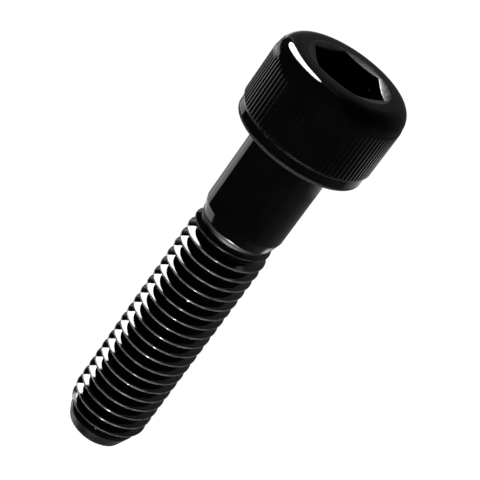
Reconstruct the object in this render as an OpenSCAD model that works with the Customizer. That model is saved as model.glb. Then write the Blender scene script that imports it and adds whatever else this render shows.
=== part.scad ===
// Hex-socket head cap screw: a knurled cylindrical head, a plain shank and a rolled thread, in one solid.
// It is drawn upright about its own axis, with the bearing face at z = 0, and then laid down at rest.

/* [Head] */
// Height of the head above the bearing face
head_h = 9.9; // [8:0.1:12]
// Diameter of the plain head where its rounded top starts
head_d = 16; // [15:0.1:17]
// Radius of the rounded top edge
top_round = 1.9; // [0.5:0.1:2.2]
// How far the plain band below the knurl lies inside the head's diameter, on each side
band_inset = 0.15; // [0:0.05:0.5]
// Height of the plain band
band_h = 1.7; // [1:0.1:3]
// Radius of the band's lower edge
band_round = 0.4; // [0.1:0.1:0.8]

/* [Knurl] */
// Height of the knurl's ridges above the plain head
knurl_proud = 0.1; // [0.05:0.05:0.4]
// Depth of the grooves between the ridges
knurl_depth = 0.3; // [0.1:0.05:0.5]
// Number of ridges round the head
knurl_teeth = 87; // [60:1:110]

/* [Socket] */
// Width of the hexagon across its flats
socket_af = 8; // [6:0.5:9]
// Depth of the hexagon's walls below the top
socket_depth = 5; // [4:0.1:6]
// Width of the conical mouth at the top beyond the hexagon's corners
mouth_margin = 0.5; // [0.2:0.05:0.8]
// Full angle of the conical mouth
mouth_angle = 120; // [90:5:130]
// Depth of the shallow cone in the hexagon's floor
floor_cone = 0.9; // [0.3:0.1:1.5]
// Width of the flat ledge round the floor's cone
floor_ledge = 0.3; // [0.1:0.1:1]
// Turn of the hexagon about the screw's axis
socket_turn = 22; // [0:1:60]

/* [Shank] */
// Length under the head
length = 45; // [35:1:80]
// Diameter of the plain shank
shank_d = 9.8; // [9.6:0.05:10.2]
// Length of the full shank under the head
shank_len = 10.9; // [8:0.1:20]
// Radius of the fillet under the head
shank_fillet = 0.5; // [0.2:0.1:0.8]
// Diameter of the blank between the shank and the full thread
blank_d = 8.9; // [8.7:0.05:9.2]
// Length of the cone from the shank down to the blank
shoulder_len = 1.5; // [0.5:0.1:2]

/* [Thread] */
// Diameter over the thread's crests
thread_d = 9.8; // [9.6:0.05:10]
// Distance from one crest to the next
pitch = 1.5; // [1.25:0.05:1.75]
// Length over which the thread fades out below the shank
runout_len = 3; // [1.5:0.1:4]
// Length of the tapered lead at the end
lead_len = 3.4; // [2:0.1:5]
// Diameter of the flat end
end_d = 7; // [6:0.1:7.8]
// Turn of the thread about the screw's axis
thread_turn = 54; // [0:1:359]
// Flat facets in one turn of the thread
thread_facets = 32; // [16:4:40]

/* [Hidden] */
$fn = 96;

head_r = head_d / 2;
band_r = head_r - band_inset;
knurl_r = head_r + knurl_proud;
knurl_top = head_h - top_round;
// The head's core lies inside the grooves, and joined or cutting solids run past each other
core_in = 0.6;
core_r = knurl_r - knurl_depth - core_in;
overlap = 1;
shank_r = shank_d / 2;
socket_corner_d = socket_af / cos(30);
mouth_slope = tan(mouth_angle / 2);
mouth_depth = (socket_corner_d / 2 + mouth_margin) / mouth_slope;

// Form of a 60 degree thread: 17/24 of the sharp triangle's height is cut, and 1/8 of its width is crest
triangle_h = pitch * cos(30);
thread_depth = 17 / 24 * triangle_h;
crest_w = pitch / 8;
flank_w = thread_depth * tan(30);
root_w = pitch - crest_w - 2 * flank_w;
crest_r = thread_d / 2;
root_r = crest_r - thread_depth;
blank_r = blank_d / 2;
end_r = end_d / 2;

// The shank's cone runs on down to inside the blank, and the thread fades out part way up the cone
shoulder_in = 0.25;
shoulder_r = blank_r - shoulder_in;
shoulder_slope = (shank_r - blank_r) / shoulder_len;
cone_len = (shank_r - shoulder_r) / shoulder_slope;
fade_up = 0.6;
thread_len = length - shank_len - shoulder_len + fade_up;

// At rest the screw lies on the knurl's lower edge and on the last full crest
rest_span = band_h + length - lead_len;
tilt = atan((knurl_r - crest_r) / rest_span);
rest_h = knurl_r * cos(tilt) - band_h * sin(tilt);
reach_head = (head_r - top_round) * sin(tilt) + knurl_top * cos(tilt) + top_round;
reach_end = length * cos(tilt) + end_r * sin(tilt);

// Half section of the head: band, core inside the knurl and rounded top
module head_section() {
    square([band_r - band_round, band_h]);
    translate([0, band_round]) square([band_r, band_h - band_round]);
    translate([band_r - band_round, band_round]) circle(band_round);
    square([core_r, knurl_top]);
    translate([0, knurl_top]) square([head_r - top_round, top_round]);
    intersection() {
        translate([head_r - top_round, knurl_top]) circle(top_round);
        translate([0, knurl_top]) square([head_r, top_round]);
    }
}

// Ring of straight ridges between the band and the rounded top
module knurl() {
    step = 360 / knurl_teeth;
    ridge = [for (i = [0 : knurl_teeth - 1]) for (side = [0, 1])
        let (a = (i + side / 2) * step, r = knurl_r - side * knurl_depth) r * [cos(a), sin(a)]];
    translate([0, 0, band_h]) linear_extrude(knurl_top - band_h) polygon(ridge);
}

// Hexagonal recess with a conical mouth and a shallow conical floor
module socket() {
    translate([0, 0, head_h - socket_depth])
        rotate(socket_turn) cylinder(h = socket_depth + overlap, d = socket_corner_d, $fn = 6);
    translate([0, 0, head_h - mouth_depth])
        cylinder(h = mouth_depth + overlap, r1 = 0, r2 = (mouth_depth + overlap) * mouth_slope);
    translate([0, 0, head_h - socket_depth - floor_cone])
        cylinder(h = floor_cone, r1 = 0, r2 = socket_af / 2 - floor_ledge);
}

// Plain shank with its fillet under the head and its cone above the thread
module shank() {
    translate([0, 0, -shank_len]) cylinder(h = shank_len + overlap, r = shank_r);
    translate([0, 0, -shank_len - cone_len]) cylinder(h = cone_len, r1 = shoulder_r, r2 = shank_r);
    rotate_extrude() difference() {
        translate([0, -shank_fillet]) square([shank_r + shank_fillet, shank_fillet]);
        translate([shank_r + shank_fillet, -shank_fillet]) circle(shank_fillet);
    }
}

// Radius of the thread's surface, u above the end, where the full form has radius r
function thread_r(u, r) =
    let (fade = max(0, min(1, (thread_len - u) / runout_len)))
    let (formed = blank_r + fade * (r - blank_r))
    min(formed, end_r + (crest_r - end_r) * u / lead_len);

// Helical thread with its core: four points of the form at each step along the helix.
// It starts below the end, where it is cut flat, and runs on into the shank.
module thread() {
    n = thread_facets;
    spare = 2 * pitch;
    form_u = [0, root_w, root_w + flank_w, root_w + flank_w + crest_w];
    form_r = [root_r, root_r, crest_r, crest_r];
    low = -spare;
    steps = n * ceil((thread_len + spare - low) / pitch);
    side = [for (j = [0 : steps]) for (k = [0 : 3])
        let (u = low + pitch * j / n + form_u[k], a = 360 * j / n, r = thread_r(u, form_r[k]))
        [r * cos(a), r * sin(a), u - length]];
    first_turn = low + pitch / 2;
    last_turn = low + pitch * (steps / n - 1 / 2) + form_u[3];
    points = concat(side, [[0, 0, first_turn - length], [0, 0, last_turn - length]]);
    bottom = concat([for (j = [0 : n]) 4 * j], [3, 2, 1]);
    top = concat([for (j = [steps - n : steps]) 4 * j + 3], [4 * steps + 2, 4 * steps + 1, 4 * steps]);
    strip = [for (j = [0 : steps - 1]) for (k = [0 : 3])
        let (up = k < 3 ? 4 * j + k + 1 : 4 * (j + n))
        if (up + 4 <= 4 * steps + 3)
            for (tri = [[4 * j + k, up + 4, 4 * j + 4 + k], [4 * j + k, up, up + 4]]) tri];
    low_cap = [for (i = [0 : len(bottom) - 1]) [len(side), bottom[i], bottom[(i + 1) % len(bottom)]]];
    top_cap = [for (i = [0 : len(top) - 1]) [len(side) + 1, top[(i + 1) % len(top)], top[i]]];
    intersection() {
        rotate(thread_turn) polyhedron(points, concat(strip, low_cap, top_cap));
        translate([-thread_d, -thread_d, -length]) cube([2 * thread_d, 2 * thread_d, 2 * length]);
    }
}

module screw() {
    color([0.06, 0.06, 0.065])
        translate([(reach_end - reach_head) / 2, 0, rest_h]) rotate([0, 90 - tilt, 0]) {
            difference() {
                union() {
                    rotate_extrude() head_section();
                    knurl();
                    shank();
                }
                socket();
            }
            thread();
        }
}

screw();
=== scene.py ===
"""Looks of a black hex-socket cap screw that lies at rest on a pale floor.

The screw is one closed skin in its own frame: its axis is Z, the bearing face under the head is at 0,
the head is above and the thread below. The skin is then laid down where the CAD solid lies.
"""

import math

import bpy
import numpy as np
from bpy.props import FloatProperty, FloatVectorProperty, IntProperty, PointerProperty
from mathutils import Matrix, Vector


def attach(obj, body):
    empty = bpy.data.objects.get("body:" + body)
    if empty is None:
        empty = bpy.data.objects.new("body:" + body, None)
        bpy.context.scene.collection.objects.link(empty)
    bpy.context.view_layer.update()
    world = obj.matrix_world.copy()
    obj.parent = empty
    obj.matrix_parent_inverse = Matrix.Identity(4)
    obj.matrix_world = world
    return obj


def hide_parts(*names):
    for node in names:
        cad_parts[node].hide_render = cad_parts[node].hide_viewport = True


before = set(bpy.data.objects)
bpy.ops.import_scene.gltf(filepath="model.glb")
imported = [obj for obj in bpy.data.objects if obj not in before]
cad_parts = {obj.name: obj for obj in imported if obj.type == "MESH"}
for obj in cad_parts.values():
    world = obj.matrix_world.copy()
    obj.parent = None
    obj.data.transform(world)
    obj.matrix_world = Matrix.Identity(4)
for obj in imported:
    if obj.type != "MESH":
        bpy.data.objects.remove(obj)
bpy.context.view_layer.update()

bl_info = {
    "name": "Cap screw",
    "version": (1, 0, 0),
    "blender": (4, 5, 0),
    "location": "View3D > Sidebar > Cap screw",
    "description": "Builds a black hex-socket cap screw and a plain studio round it",
    "category": "Add Mesh",
}

MM = 0.001
# Points of one ridge and groove, as shares of a step from the ridge's middle, and their shares of the depth
TOOTH_PLACES = (-0.21, 0.0, 0.21, 0.29, 0.5, 0.71)
TOOTH_DEPTHS = (0.0, 0.0, 0.0, 0.29, 1.0, 0.29)
# Raw finish of the band's lower edge, of the socket's mouth and of the tapered lead
BAND_RAW = 1.4
MOUTH_RAW = 0.4
LEAD_RAW = 0.3
# An edge that turns by more than this is drawn sharp
SHARP_TURN = math.radians(32)
# Paper of the floor, and the light of the backdrop and of the dark studio
PAPER = (0.25, 0.25, 0.25)
WHITE = (1.0, 1.0, 1.0)
DIM = (0.01, 0.01, 0.0102)
NO_LIGHT = (0.0, 0.0, 0.0)


def size(name, millimetres, description):
    """A size of the screw or the studio, written here in millimetres."""
    return FloatProperty(name=name, description=description, default=millimetres * MM, unit="LENGTH")


def turn(name, degrees, description):
    """An angle, written here in degrees."""
    return FloatProperty(name=name, description=description, default=math.radians(degrees), unit="ROTATION")


def share(name, default, description):
    """A plain number from 0 to 1 or so."""
    return FloatProperty(name=name, description=description, default=default, subtype="FACTOR")


def pixels(name, default, description):
    """A length in pixels of the picture."""
    return FloatProperty(name=name, description=description, default=default, subtype="PIXEL")


def watts(name, default, description):
    """The power of a lamp."""
    return FloatProperty(name=name, description=description, default=default, subtype="POWER")


def colour(name, default, description):
    """A colour as it is seen by the shaders."""
    return FloatVectorProperty(name=name, description=description, default=default, size=3, subtype="COLOR")


class HeadSizes(bpy.types.PropertyGroup):
    """Sizes of the head, its knurl and its socket."""

    height: size("Height", 9.9, "From the bearing face to the flat top")
    diameter: size("Diameter", 16.0, "Plain diameter where the rounded top starts")
    top_round: size("Top round", 1.9, "Radius of the rounded top edge")
    band_inset: size("Band inset", 0.15, "How far the plain band lies inside the head's diameter")
    band_height: size("Band height", 1.7, "Height of the plain band below the knurl")
    band_round: size("Band round", 0.4, "Radius of the band's lower edge")
    rim_drop: size("Rim drop", 0.16, "How far the band's rim lies below the knurl")
    rim_bevel: size("Rim bevel", 0.1, "Width of the bevel inside the band's rim")
    groove_inset: size("Groove inset", 0.27, "How far the groove above the band lies inside the diameter")
    knurl_proud: size("Knurl height", 0.1, "Height of the ridges above the plain head")
    knurl_depth: size("Knurl depth", 0.2, "Depth of the grooves between the ridges")
    knurl_low_run: size("Knurl lower run", 0.16, "Length over which the ridges slope off at the lower end")
    knurl_high_run: size("Knurl upper run", 0.4, "Length over which the ridges slope off at the upper end")
    knurl_teeth: IntProperty(name="Knurl ridges", description="Ridges round the head", default=87)
    socket_flats: size("Socket width", 8.0, "Width of the hexagon across its flats")
    socket_depth: size("Socket depth", 5.0, "Depth of the hexagon's walls below the top")
    mouth_margin: size("Mouth margin", 0.5, "Width of the conical mouth beyond the hexagon's corners")
    mouth_angle: turn("Mouth angle", 156, "Full angle of the conical mouth")
    floor_cone: size("Floor cone", 0.9, "Depth of the cone in the socket's floor")
    floor_ledge: size("Floor ledge", 0.3, "Flat ledge round the floor's cone")
    socket_turn: turn("Socket turn", 22, "Turn of the hexagon about the axis")
    edge: size("Edge", 0.12, "Softened width of the socket's edges")


class ShankSizes(bpy.types.PropertyGroup):
    """Sizes of the plain shank and the thread."""

    length: size("Length", 45.0, "Length under the head")
    diameter: size("Shank diameter", 9.8, "Diameter of the plain shank")
    full: size("Shank length", 10.9, "Length of the full shank under the head")
    fillet: size("Fillet", 0.5, "Radius of the fillet under the head")
    blank_diameter: size("Blank diameter", 8.9, "Diameter between the shank and the full thread")
    shoulder: size("Shoulder", 1.5, "Length of the cone from the shank down to the blank")
    fade_up: size("Fade", 0.6, "How far up the cone the thread fades out")
    thread_diameter: size("Thread diameter", 9.8, "Diameter over the crests")
    pitch: size("Pitch", 1.5, "Distance from one crest to the next")
    runout: size("Run-out", 3.0, "Length over which the thread fades below the shank")
    lead: size("Lead", 3.4, "Length of the tapered lead at the end")
    end_diameter: size("End diameter", 7.0, "Diameter of the flat end")
    end_edge: size("End edge", 0.25, "Softened width of the flat end's edge")
    thread_turn: turn("Thread turn", 54, "Turn of the thread about the axis")
    crest_width: size("Crest width", 0.13, "Width of the crest's flat")
    crest_round: size("Crest round", 0.05, "Radius of the crest's edges")
    root_round: size("Root round", 0.12, "Radius of the root's corners")


class Wear(bpy.types.PropertyGroup):
    """Places where the film is rubbed off, as angles about the axis."""

    first_scuff: turn("First scuff", 170, "Bare patch on the cone between the thread and the shank")
    second_scuff: turn("Second scuff", 303, "Another bare patch on that cone")
    scuff_width: turn("Scuff width", 11, "Half width of the patches on the cone")
    rub: turn("Rub", 164, "Bare patch at the upper ends of the ridges")
    rub_width: turn("Rub width", 13, "Half width of the patch on the ridges")
    rim: turn("Rim", 172, "Place where the band's rim is bare")
    rim_width: turn("Rim width", 20, "Half width of the bare stretch of the rim")
    rim_least: share("Rim elsewhere", 0.45, "Wear of the rim on its other stretches")
    ridge_feet: share("Ridge feet", 0.3, "Wear of the lower ends of the ridges")
    band_round: share("Band round", 0.3, "Wear of the band's lower edge")


class Finish(bpy.types.PropertyGroup):
    """Colours, gloss and grain of the blackened steel."""

    black: colour("Black", (0.0015, 0.0015, 0.0016), "Oxide film in the hollows")
    grey: colour("Grey", (0.004, 0.0039, 0.0038), "Thinner, drier oxide in patches")
    worn: colour("Worn", (0.9, 0.885, 0.865), "Steel rubbed bare along the edges")
    roughness: share("Roughness", 0.03, "Roughness of the film")
    spread: share("Roughness spread", 0.03, "How much the roughness changes over the film")
    grain_spread: share("Grain spread", 0.03, "How much the grain changes the roughness")
    worn_roughness: share("Worn roughness", 0.72, "Roughness that bare steel adds")
    gloss: FloatProperty(name="Gloss", description="Refractive index of the oiled film", default=1.8)
    patch_scale: FloatProperty(name="Patches", description="Drier patches in a metre", default=260.0)
    blotch_scale: FloatProperty(name="Blotches", description="Blotches in a metre", default=900.0)
    grain_scale: FloatProperty(name="Grain", description="Grains in a metre", default=5200.0)
    relief: size("Relief", 0.01, "Height of the grain")


class Studio(bpy.types.PropertyGroup):
    """Camera and light."""

    focal: pixels("Focal length", 1707.4, "Focal length in the picture's pixels")
    frame_px: pixels("Frame", 480.0, "Width of the picture")
    face_x: pixels("Across", 299.35, "Where the bearing face's centre is seen, from the left")
    face_y: pixels("Down", 142.83, "Where the bearing face's centre is seen, from the top")
    distance: size("Distance", 182.82, "Depth of the bearing face's centre in front of the camera")
    lean: turn("Lean", 27.16, "How far the head leans out of the picture towards the camera")
    roll: turn("Roll", 36.02, "Turn of the screw's axis from upright in the picture")
    side: turn("Side", 60, "Turn of the floor about the screw's axis, from straight behind the screw")
    key_power: watts("Key power", 2.5, "Power of the wide lamp beside the head")
    fill_power: watts("Fill power", 2.4, "Power of the small lamp beyond the end")


class Skin:
    """Points and faces of one closed surface.

    Each point has two finishes: wear, how far the film is rubbed off, and raw, how dull and grainy it is.
    Edges inside the range of points soft are drawn smooth, and those inside one set of hard are drawn sharp.
    """

    def __init__(self):
        self.points = []
        self.wear = []
        self.raw = []
        self.faces = []
        self.soft = range(0)
        self.hard = []

    def ring(self, angles, radii, heights, wear=0.0, raw=0.0):
        """Adds a ring of points and returns their numbers."""
        first = len(self.points)
        radii = np.broadcast_to(radii, angles.shape)
        heights = np.broadcast_to(heights, angles.shape)
        self.points += list(zip(radii * np.cos(angles), radii * np.sin(angles), heights))
        self.wear += list(np.broadcast_to(wear, angles.shape))
        self.raw += [raw] * len(angles)
        return list(range(first, first + len(angles)))

    def band(self, low, high):
        """Joins two rings of the same count."""
        count = len(low)
        for i in range(count):
            j = (i + 1) % count
            self.faces.append((low[i], low[j], high[j], high[i]))

    def spread(self, few, many):
        """Joins a ring to one of three times as many points."""
        count = len(few)
        for i in range(count):
            j = (i + 1) % count
            fine = [many[(3 * i + k) % len(many)] for k in range(4)]
            self.faces.append((few[i], fine[1], fine[0]))
            self.faces.append((few[i], few[j], fine[2], fine[1]))
            self.faces.append((few[j], fine[3], fine[2]))

    def close(self, ring, height, flip=False):
        """Closes a ring with a fan to a point on the axis."""
        middle = len(self.points)
        self.points.append((0.0, 0.0, height))
        self.wear.append(0.0)
        self.raw.append(0.0)
        count = len(ring)
        for i in range(count):
            pair = (ring[i], ring[(i + 1) % count])
            self.faces.append((middle,) + (pair[::-1] if flip else pair))

    def path(self, ring, angles, profile):
        """Runs a ring on along a profile of (radius, height, wear, raw) and returns the last ring."""
        for radius, height, *finish in profile:
            following = self.ring(angles, radius, height, *finish)
            self.band(ring, following)
            ring = following
        return ring


def arc(centre_r, centre_h, radius, start, end, steps, *finish):
    """Points of a profile on an arc, angles in degrees, without its first point."""
    profile = []
    for k in range(1, steps + 1):
        a = math.radians(start + (end - start) * k / steps)
        profile.append((centre_r + radius * math.cos(a), centre_h + radius * math.sin(a), *finish))
    return profile


def patch(angles, place, width):
    """Wear that is full at one place and fades out on both sides of it."""
    return np.exp(-((angles - place) / width) ** 2)


def rounded_corners(points, radii, steps):
    """Arcs in place of the inner corners of an open path of (u, r) points."""
    rounded = []
    for before, corner, after, radius in zip(points, points[1:], points[2:], radii):
        to_before = (np.array(before) - corner) / np.linalg.norm(np.array(before) - corner)
        to_after = (np.array(after) - corner) / np.linalg.norm(np.array(after) - corner)
        half = math.acos(float(np.clip(to_before @ to_after, -1, 1))) / 2
        reach = radius / math.tan(half)
        middle = (to_before + to_after) / np.linalg.norm(to_before + to_after)
        centre = np.array(corner) + middle * radius / math.sin(half)
        start = np.array(corner) + to_before * reach - centre
        end = np.array(corner) + to_after * reach - centre
        for k in range(steps + 1):
            part = start * (1 - k / steps) + end * (k / steps)
            rounded.append(centre + part / np.linalg.norm(part) * radius)
    return rounded


def thread_profile(s):
    """One pitch of the thread's form, from one root to the next: places, radii and wear of its points."""
    triangle = s.pitch * math.cos(math.pi / 6)
    depth = triangle * 17 / 24
    crest = s.thread_diameter / 2
    root = crest - depth
    crest_half = s.crest_width / 2
    flank = s.pitch * 3 / 8 - crest_half + s.pitch / 48
    middle = s.pitch / 2
    foot = middle - crest_half - flank
    corners = [
        (-foot, root), (foot, root), (middle - crest_half, crest),
        (middle + crest_half, crest), (s.pitch - foot, root), (s.pitch + foot, root),
    ]
    radii = [s.root_round, s.crest_round, s.crest_round, s.root_round]
    arcs = rounded_corners(corners, radii, 2)
    up = [arcs[2] + (arcs[3] - arcs[2]) * k for k in (0.06, 0.94)]
    down = [arcs[8] + (arcs[9] - arcs[8]) * k for k in (0.08, 0.13, 0.94)]
    points = np.array(arcs[:3] + up + arcs[3:9] + down + arcs[9:])
    # The crest's edge towards the end is rubbed, and then the one towards the head with the flank's top
    rubbed = np.zeros(len(points))
    rubbed[5:8] = 0.5, 1.0, 0.4
    rubbed[8:12] = 0.4, 1.0, 0.7, 0.2
    return points[:, 0], points[:, 1], rubbed


def thread_formed(s, u):
    """Share of its full form that the thread has u above the end; it fades out on the shank's cone."""
    long = s.length - s.full - s.shoulder + s.fade_up
    return np.clip((long - u) / s.runout, 0, 1)


def thread_radius(s, u, form):
    """Radius of the thread's surface u above the end, where its full form has radius form."""
    blank = s.blank_diameter / 2
    end = s.end_diameter / 2
    crest = s.thread_diameter / 2
    formed = blank + thread_formed(s, u) * (form - blank)
    return np.minimum(formed, end + (crest - end) * u / s.lead)


def thread_finish(s, u, cut):
    """Shares of wear and of raw finish u above the end, where the lead cuts the form back by cut."""
    formed = thread_formed(s, u)
    reach = np.clip(u / s.lead, 0, 1)
    full_cut = 0.15 * MM
    turned = LEAD_RAW * np.clip(cut / full_cut, 0, 1) * (reach < 1)
    # The run-out is raw until it is a fifth formed, and has its film from a little over half on
    faded = np.clip(1.6 - 3 * formed, 0, 1)
    return formed * reach ** 5, np.maximum(turned, faded)


def add_thread(skin, s, angles):
    """Adds the flat end and the helical thread, and returns the ring at the top of the blank."""
    inner = skin.ring(angles, s.end_diameter / 2 - s.end_edge, -s.length)
    skin.close(inner, -s.length, flip=True)
    low_u = s.end_edge / 2
    bottom = skin.ring(angles, s.end_diameter / 2, low_u - s.length, raw=LEAD_RAW)
    skin.band(inner, bottom)
    top_u = s.length - s.full - s.shoulder
    top = skin.ring(angles, s.blank_diameter / 2, top_u - s.length, raw=1.0)

    # The form runs up the helix from below the end, and what is past the two rings falls onto them
    near = 0.01 * MM
    count = len(angles)
    form_u, form_r, form_wear = thread_profile(s)
    rows = len(form_u)
    first_turn = s.pitch * (angles[0] - s.thread_turn) / math.tau
    start = low_u - s.pitch - form_u[-1]
    start_turn = math.floor((start - first_turn) / s.pitch)
    steps = count * (math.ceil((top_u - start) / s.pitch) + 3)
    columns = []
    for g in range(steps):
        i = g % count
        u = first_turn + s.pitch * (start_turn + g / count) + form_u
        r = thread_radius(s, u, form_r)
        worn, raw = thread_finish(s, u, form_r - r)
        x = r * math.cos(angles[i])
        y = r * math.sin(angles[i])
        column = []
        for k in range(rows):
            if u[k] <= low_u + near:
                column.append(bottom[i])
            elif u[k] >= top_u - near:
                column.append(top[i])
            else:
                column.append(len(skin.points))
                skin.points.append((x[k], y[k], u[k] - s.length))
                skin.wear.append(float(form_wear[k] * worn[k]))
                skin.raw.append(float(raw[k]))
        columns.append(column)
    for g in range(steps - 1):
        for k in range(rows):
            if k + 1 < rows:
                upper, ahead = columns[g][k + 1], columns[g + 1][k + 1]
            elif g + count + 1 < steps:
                upper, ahead = columns[g + count][0], columns[g + count + 1][0]
            else:
                continue
            corners = (columns[g][k], columns[g + 1][k], ahead, upper)
            face = tuple(dict.fromkeys(corners))
            if len(face) > 2:
                skin.faces.append(face)
    return top


def add_shank(skin, s, wear, ring, angles):
    """Runs from the blank over the cone and the plain shank to the fillet under the head."""
    shank = s.diameter / 2
    blank = s.blank_diameter / 2
    places = (wear.first_scuff, wear.second_scuff)
    scuffs = sum(patch(angles, place, wear.scuff_width) for place in places)
    steps = 6
    cone = []
    for k in range(1, steps + 1):
        down = 1 - k / steps
        bare = scuffs * min(1.0, 6 * down * (1 - down))
        cone.append((shank - (shank - blank) * down, -s.full - down * s.shoulder, bare))
    collar = skin.path(ring, angles, cone)
    skin.hard = [set(ring), set(collar)]
    margin = 0.5 * MM
    profile = [(shank, -s.full + margin), (shank, -s.fillet - margin), (shank, -s.fillet)]
    profile += arc(shank + s.fillet, -s.fillet, s.fillet, 180, 90, 5)
    return skin.path(collar, angles, profile)


def add_band(skin, h, wear, ring, fine):
    """Runs from the fillet over the bearing face and the plain band into the groove below the knurl."""
    band = h.diameter / 2 - h.band_inset
    face_edge = band - h.band_round
    face_margin = 0.8 * MM
    band_margin = 0.15 * MM
    lower = skin.ring(fine, face_edge - face_margin, 0.0)
    skin.spread(ring, lower)
    bare = patch(fine, wear.rim, wear.rim_width)
    bright = wear.rim_least + (1 - wear.rim_least) * bare
    rim = h.band_height - h.rim_drop
    profile = [(face_edge, 0.0)]
    profile += arc(face_edge, h.band_round, h.band_round, -90, 0, 6, wear.band_round, BAND_RAW)
    profile += [
        (band, h.band_round + band_margin),
        (band, rim - h.rim_bevel * 2),
        (band, rim - h.rim_bevel * 1.2, bare),
        (band, rim, bright),
        (band - h.rim_bevel, rim + h.rim_bevel, bright),
        (h.diameter / 2 - h.groove_inset, h.band_height),
    ]
    return skin.path(lower, fine, profile)


def add_knurl(skin, h, wear, ring, fine):
    """Runs up the straight ridges, which slope off at both ends, and over the rounded top edge."""
    head = h.diameter / 2
    groove = head - h.groove_inset
    low = h.band_height
    top = h.height - h.top_round
    ridges = head + h.knurl_proud - h.knurl_depth * np.tile(TOOTH_DEPTHS, h.knurl_teeth)
    rubbed = patch(fine, wear.rub, wear.rub_width)
    profile = [
        ((groove + ridges) / 2, low + h.knurl_low_run * 0.3, wear.ridge_feet),
        (ridges, low + h.knurl_low_run),
        (ridges, low + h.knurl_low_run * 1.4),
        (ridges, top - h.knurl_high_run * 1.2),
        (ridges, top - h.knurl_high_run, rubbed),
        ((ridges + head) / 2, top - h.knurl_high_run * 0.4, rubbed),
        (head, top, rubbed),
    ]
    first = len(skin.points)
    ring = skin.path(ring, fine, profile)
    skin.soft = range(first, len(skin.points))
    return skin.path(ring, fine, arc(head - h.top_round, top, h.top_round, 0, 90, 16))


def add_socket(skin, h, ring, fine):
    """Runs over the flat top and the conical mouth, down the hexagon's walls and over its floor."""
    flats = h.socket_flats / 2
    mouth = flats / math.cos(math.pi / 6) + h.mouth_margin
    sides = [np.maximum(np.cos(fine - h.socket_turn - math.radians(30 + 60 * k)), 0) for k in range(6)]
    # A high power of the six sides gives a hexagon with slightly blunt corners
    blunt = 70
    hexagon = flats / sum(side ** blunt for side in sides) ** (1 / blunt)
    brim = hexagon + h.edge
    top = h.height
    wall_top = top - (mouth - brim) / math.tan(h.mouth_angle / 2)
    floor = top - h.socket_depth
    profile = [
        (mouth + h.edge, top),
        (mouth + h.edge * 0.4, top - h.edge * 0.04, 0.0, MOUTH_RAW / 2),
        (mouth - h.edge * 0.4, top - h.edge * 0.1, 0.0, MOUTH_RAW),
        (brim, wall_top, 0.0, MOUTH_RAW),
        (hexagon + h.edge * 0.3, wall_top - h.edge * 0.45),
        (hexagon, wall_top - h.edge * 1.3),
        (hexagon, wall_top - h.edge * 3.0),
        (hexagon, floor + h.edge),
        (hexagon - h.edge, floor),
        (flats - h.floor_ledge, floor),
    ]
    ring = skin.path(ring, fine, profile)
    skin.close(ring, floor - h.floor_cone)


def screw_skin(h, s, wear):
    """The whole screw from its end to its socket, as one closed skin."""
    step = math.tau / h.knurl_teeth
    fine = (np.add.outer(np.arange(h.knurl_teeth), TOOTH_PLACES) * step).ravel()
    angles = fine[::3]
    skin = Skin()
    ring = add_thread(skin, s, angles)
    ring = add_shank(skin, s, wear, ring, angles)
    ring = add_band(skin, h, wear, ring, fine)
    ring = add_knurl(skin, h, wear, ring, fine)
    add_socket(skin, h, ring, fine)
    return skin


def resting_place(h, s):
    """Matrix that lays the screw down on its knurl and its last full crest."""
    crest = s.thread_diameter / 2
    knurl = h.diameter / 2 + h.knurl_proud
    tilt = math.atan((knurl - crest) / (h.band_height + s.length - s.lead))
    high = knurl * math.cos(tilt) - h.band_height * math.sin(tilt)
    flat_edge = h.diameter / 2 - h.top_round
    reach_head = flat_edge * math.sin(tilt) + (h.height - h.top_round) * math.cos(tilt) + h.top_round
    reach_end = s.length * math.cos(tilt) + s.end_diameter / 2 * math.sin(tilt)
    along = (reach_end - reach_head) / 2
    return Matrix.Translation((along, 0, high)) @ Matrix.Rotation(math.pi / 2 - tilt, 4, "Y")


class Wire:
    """An output of a node; Python's operators add Math nodes to it."""

    def __init__(self, paint, socket):
        self.paint = paint
        self.socket = socket

    def math(self, operation, first, second):
        return self.paint.add("ShaderNodeMath", {"operation": operation}, {0: first, 1: second})

    def __add__(self, other):
        return self.math("ADD", self, other)

    def __sub__(self, other):
        return self.math("SUBTRACT", self, other)

    def __rsub__(self, other):
        return self.math("SUBTRACT", other, self)

    def __mul__(self, other):
        return self.math("MULTIPLY", self, other)

    __radd__ = __add__
    __rmul__ = __mul__


class Paint:
    """A node tree that is written as Python calls."""

    def __init__(self, tree):
        self.tree = tree
        tree.nodes.clear()

    def add(self, kind, settings=None, inputs=None, output=0):
        """Adds a node with its settings, then the values or links of its sockets."""
        node = self.tree.nodes.new(kind)
        for name, value in (settings or {}).items():
            setattr(node, name, value)
        for key, value in (inputs or {}).items():
            if isinstance(value, Wire):
                self.tree.links.new(value.socket, node.inputs[key])
            else:
                node.inputs[key].default_value = value
        return Wire(self, node.outputs[output]) if len(node.outputs) else node

    def noise(self, at, scale, detail, roughness):
        inputs = {"Vector": at, "Scale": scale, "Detail": detail, "Roughness": roughness}
        return self.add("ShaderNodeTexNoise", {}, inputs)

    def span(self, value, low, high, to_low=0.0, to_high=1.0):
        """Takes low to high over to to_low to to_high, and holds it there on both sides."""
        inputs = {0: value, 1: low, 2: high, 3: to_low, 4: to_high}
        return self.add("ShaderNodeMapRange", {"clamp": True}, inputs)

    def mix(self, factor, first, second):
        settings = {"data_type": "RGBA"}
        return self.add("ShaderNodeMix", settings, {0: factor, 6: first, 7: second}, output=2)

    def axes(self, vector, names):
        return [self.add("ShaderNodeSeparateXYZ", {}, {0: vector}, output=name) for name in names]

    def rays(self):
        """Shares of rays from the camera, from reflections and through glass."""
        names = ("Is Camera Ray", "Is Glossy Ray", "Is Transmission Ray")
        return [self.add("ShaderNodeLightPath", output=name) for name in names]

    def light(self, kind, shade):
        return self.add(kind, {}, {"Color": opaque(shade), "Strength": 1.0})


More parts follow.
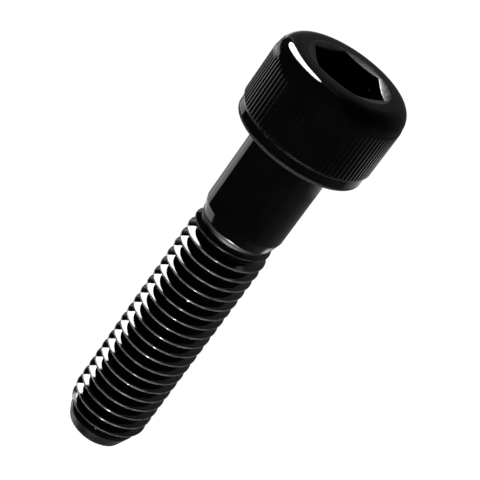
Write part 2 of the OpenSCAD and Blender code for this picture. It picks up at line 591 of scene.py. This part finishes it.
def opaque(shade):
    return (shade[0], shade[1], shade[2], 1.0)


def blackened_steel(finish):
    """Black oxide film over steel, oiled, with rubbed edges."""
    material = bpy.data.materials.new("blackened_steel")
    material.use_nodes = True
    paint = Paint(material.node_tree)
    at = paint.add("ShaderNodeTexCoord", output="Object")
    rubbed = paint.add("ShaderNodeAttribute", {"attribute_name": "edge_wear"}, output="Fac")
    raw = paint.add("ShaderNodeAttribute", {"attribute_name": "raw"}, output="Fac")
    patches = paint.span(paint.noise(at, finish.patch_scale, 3.0, 0.55), 0.4, 0.7)
    grain = paint.noise(at, finish.grain_scale, 4.0, 0.7)
    blotches = paint.noise(at, finish.blotch_scale, 4.0, 0.6)
    # Worn edges are broken up by the blotches, and raw steel is duller and rougher than the film
    wear = paint.span(rubbed * (0.55 + blotches * 0.9), 0.35, 1.0)
    drier = patches * 0.7 + paint.span(grain, 0.55, 0.8) * 0.3
    film = paint.mix(drier, opaque(finish.black), opaque(finish.grey))
    shade = paint.mix(wear, film, opaque(finish.worn))
    rough = finish.roughness + (blotches - 0.5) * finish.spread + (grain - 0.5) * finish.grain_spread
    rough = rough + wear * finish.worn_roughness + raw * (0.3 + grain * 0.7)
    height = grain * (0.12 + raw * 10) + blotches * 0.12
    bump = paint.add("ShaderNodeBump", {}, {"Strength": 1.0, "Distance": finish.relief, "Height": height})
    inputs = {"Base Color": shade, "Roughness": rough, "Metallic": wear, "Normal": bump, "IOR": finish.gloss}
    surface = paint.add("ShaderNodeBsdfPrincipled", {}, inputs)
    paint.add("ShaderNodeOutputMaterial", {}, {"Surface": surface})
    return material


def white_floor():
    """White paper; in the screw's film it shows painted light and shade, a pattern of glow by place, in
    metres.
    """
    material = bpy.data.materials.new("white_floor")
    material.use_nodes = True
    paint = Paint(material.node_tree)
    seen, mirrored, through = paint.rays()
    at = paint.add("ShaderNodeTexCoord", output="Object")
    x, y = paint.axes(at, "XY")
    # Painted light and shade, seen only in reflections: a dim glow in front of the screw (-Y) stands in for
    # its shade,
    # and the glow rises towards and behind the screw, with a brighter band under the head.
    strip = paint.span(y, -0.008, -0.001)
    in_front = paint.span(y, -0.02, -0.004, 0.01, 0.06) + strip * 0.08
    along_thread = paint.span(x, 0.035, 0.015)
    under_head = strip * paint.span(x, 0.012, 0.016) * paint.span(x, 0.025, 0.021) * 0.9
    behind = paint.span(y, -0.004, 0.035, 0.005, 0.13) * paint.span(x, 0.03, 0.045, 1.0, 0.35)
    far = paint.span(y, 0.035, 0.4, 0.0, 0.15)
    painted_floor_light = in_front * along_thread + under_head + behind + far
    paper = paint.add("ShaderNodeBsdfDiffuse", {}, {"Color": opaque(PAPER)})
    none = paint.light("ShaderNodeEmission", NO_LIGHT)
    glow = paint.light("ShaderNodeEmission", WHITE)
    white = paint.add("ShaderNodeMixShader", {}, {0: seen * 0.95, 1: none, 2: glow})
    lit_paper = paint.add("ShaderNodeAddShader", {}, {0: paper, 1: white})
    # Painted reflection: reflected and refracted rays see the floor glow with this pattern instead of the
    # lit paper.
    painted_floor_glow = paint.add("ShaderNodeMixShader", {}, {0: painted_floor_light, 1: none, 2: glow})
    surface = paint.add("ShaderNodeMixShader", {}, {0: mirrored + through, 1: lit_paper, 2: painted_floor_glow})
    paint.add("ShaderNodeOutputMaterial", {}, {"Surface": surface})
    return material


def dark_studio():
    """Dark studio; the lit backdrop behind the screw is white to the camera and in reflections."""
    world = bpy.data.worlds.new("studio")
    world.use_nodes = True
    paint = Paint(world.node_tree)
    seen, mirrored, through = paint.rays()
    way = paint.add("ShaderNodeTexCoord", output="Generated")
    x, y, z = paint.axes(way, "XYZ")
    backdrop = paint.span(y, 0.3, 0.4) * paint.span(z, 0.5, 0.47) * paint.span(x, -0.1, -0.2) * 0.7
    dim = paint.light("ShaderNodeBackground", DIM)
    white = paint.light("ShaderNodeBackground", WHITE)
    factor = seen + (mirrored + through) * backdrop
    surface = paint.add("ShaderNodeMixShader", {}, {0: factor, 1: dim, 2: white})
    paint.add("ShaderNodeOutputWorld", {}, {"Surface": surface})
    return world


def camera_matrix(studio, lie):
    """Camera that sees the screw as the picture does, from the screw's resting place."""
    lean, roll = studio.lean, studio.roll
    along = Vector((-math.cos(lean) * math.sin(roll), math.cos(lean) * math.cos(roll), math.sin(lean)))
    right = Vector((math.cos(roll), math.sin(roll), 0))
    near = along.cross(right)
    seen = Matrix((right, near, -along)).transposed()
    down, aside, ahead = lie.to_3x3().col
    floor_right = down * math.sin(studio.side) - aside * math.cos(studio.side)
    floor_near = -down * math.cos(studio.side) - aside * math.sin(studio.side)
    placed = Matrix((floor_right, floor_near, ahead)).transposed()
    turn_to_world = placed @ seen.transposed()
    middle = studio.frame_px / 2
    ray = Vector(((studio.face_x - middle) / studio.focal, (studio.face_y - middle) / studio.focal, 1))
    place = lie.translation - turn_to_world @ (ray * studio.distance)
    flip = Matrix(((1, 0, 0), (0, -1, 0), (0, 0, -1)))
    return Matrix.Translation(place) @ (turn_to_world @ flip).to_4x4()


class SCREW_OT_body(bpy.types.Operator):
    """Builds the screw as one closed skin that stands for the CAD solid"""

    bl_idname = "cap_screw.body"
    bl_label = "Build the screw"

    def execute(self, context):
        scene = context.scene
        skin = screw_skin(scene.screw_head, scene.screw_shank, scene.screw_wear)
        lie = resting_place(scene.screw_head, scene.screw_shank)
        mesh = bpy.data.meshes.new("socket_screw")
        mesh.from_pydata([lie @ Vector(point) for point in skin.points], [], skin.faces)
        if mesh.validate():
            raise RuntimeError("the screw's skin has faults")
        for name, values in (("edge_wear", skin.wear), ("raw", skin.raw)):
            layer = mesh.attributes.new(name, "FLOAT", "POINT")
            layer.data.foreach_set("value", np.array(values, np.float32))
        self.smooth(mesh, skin)
        mesh.materials.append(blackened_steel(scene.screw_finish))
        body = bpy.data.objects.new("socket_screw", mesh)
        scene.collection.objects.link(body)
        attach(body, "root")
        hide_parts("screw")
        return {"FINISHED"}

    def smooth(self, mesh, skin):
        """Shades the skin smooth apart from its sharp edges."""
        mesh.polygons.foreach_set("use_smooth", np.ones(len(mesh.polygons), bool))
        mesh.set_sharp_from_angle(angle=SHARP_TURN)
        for edge in mesh.edges:
            start, end = edge.vertices
            if start in skin.soft and end in skin.soft:
                edge.use_edge_sharp = False
            if any(start in hard and end in hard for hard in skin.hard):
                edge.use_edge_sharp = True


class SCREW_OT_stage(bpy.types.Operator):
    """Adds the floor, the light and the camera"""

    bl_idname = "cap_screw.stage"
    bl_label = "Set the stage"

    def execute(self, context):
        scene = context.scene
        scene.view_settings.view_transform = "Standard"
        studio = scene.screw_studio

        lens = bpy.data.cameras.new("camera")
        lens.sensor_width = 36.0
        lens.lens = studio.focal / studio.frame_px * lens.sensor_width
        lens.clip_start = 0.005
        camera = bpy.data.objects.new("camera", lens)
        scene.collection.objects.link(camera)
        camera.matrix_world = camera_matrix(studio, resting_place(scene.screw_head, scene.screw_shank))
        scene.camera = camera

        half = 2.0
        corners = [(-half, -half, 0), (half, -half, 0), (half, half, 0), (-half, half, 0)]
        mesh = bpy.data.meshes.new("floor")
        mesh.from_pydata(corners, [], [(0, 1, 2, 3)])
        mesh.materials.append(white_floor())
        floor = bpy.data.objects.new("floor", mesh)
        scene.collection.objects.link(floor)

        scene.world = dark_studio()
        self.lamp(scene, "key", azimuth=42, elevation=11.5, size=(0.42, 0.2), power=studio.key_power)
        self.lamp(scene, "fill", azimuth=225, elevation=14, size=(0.008, 0.008), power=studio.fill_power)
        return {"FINISHED"}

    def lamp(self, scene, name, azimuth, elevation, size, power, distance=0.45):
        """Lamp that faces the screw; angles in degrees, the azimuth from +X towards +Y."""
        data = bpy.data.lights.new(name, "AREA")
        data.shape = "ELLIPSE"
        data.size, data.size_y = size
        data.energy = power
        lamp = bpy.data.objects.new(name, data)
        scene.collection.objects.link(lamp)
        up = math.radians(elevation)
        around = math.radians(azimuth)
        way = Vector((math.cos(up) * math.cos(around), math.cos(up) * math.sin(around), math.sin(up)))
        lamp.location = way * distance
        lamp.rotation_euler = way.to_track_quat("Z", "Y").to_euler()


class SCREW_PT_panel(bpy.types.Panel):
    """Lists the screw's pieces and sizes"""

    bl_idname = "SCREW_PT_panel"
    bl_label = "Cap screw"
    bl_space_type = "VIEW_3D"
    bl_region_type = "UI"
    bl_category = "Cap screw"

    def draw(self, context):
        layout = self.layout
        layout.operator(SCREW_OT_body.bl_idname)
        layout.operator(SCREW_OT_stage.bl_idname)
        for group in GROUPS:
            box = layout.box()
            sizes = getattr(context.scene, group)
            for name in sizes.__annotations__:
                box.prop(sizes, name)


GROUPS = {
    "screw_head": HeadSizes,
    "screw_shank": ShankSizes,
    "screw_wear": Wear,
    "screw_finish": Finish,
    "screw_studio": Studio,
}
CLASSES = (*GROUPS.values(), SCREW_OT_body, SCREW_OT_stage, SCREW_PT_panel)


def register():
    for cls in CLASSES:
        bpy.utils.register_class(cls)
    for name, cls in GROUPS.items():
        setattr(bpy.types.Scene, name, PointerProperty(type=cls))


def unregister():
    for name in GROUPS:
        delattr(bpy.types.Scene, name)
    for cls in reversed(CLASSES):
        bpy.utils.unregister_class(cls)


def main():
    register()
    bpy.ops.cap_screw.body()
    bpy.ops.cap_screw.stage()


if __name__ == "__main__":
    main()
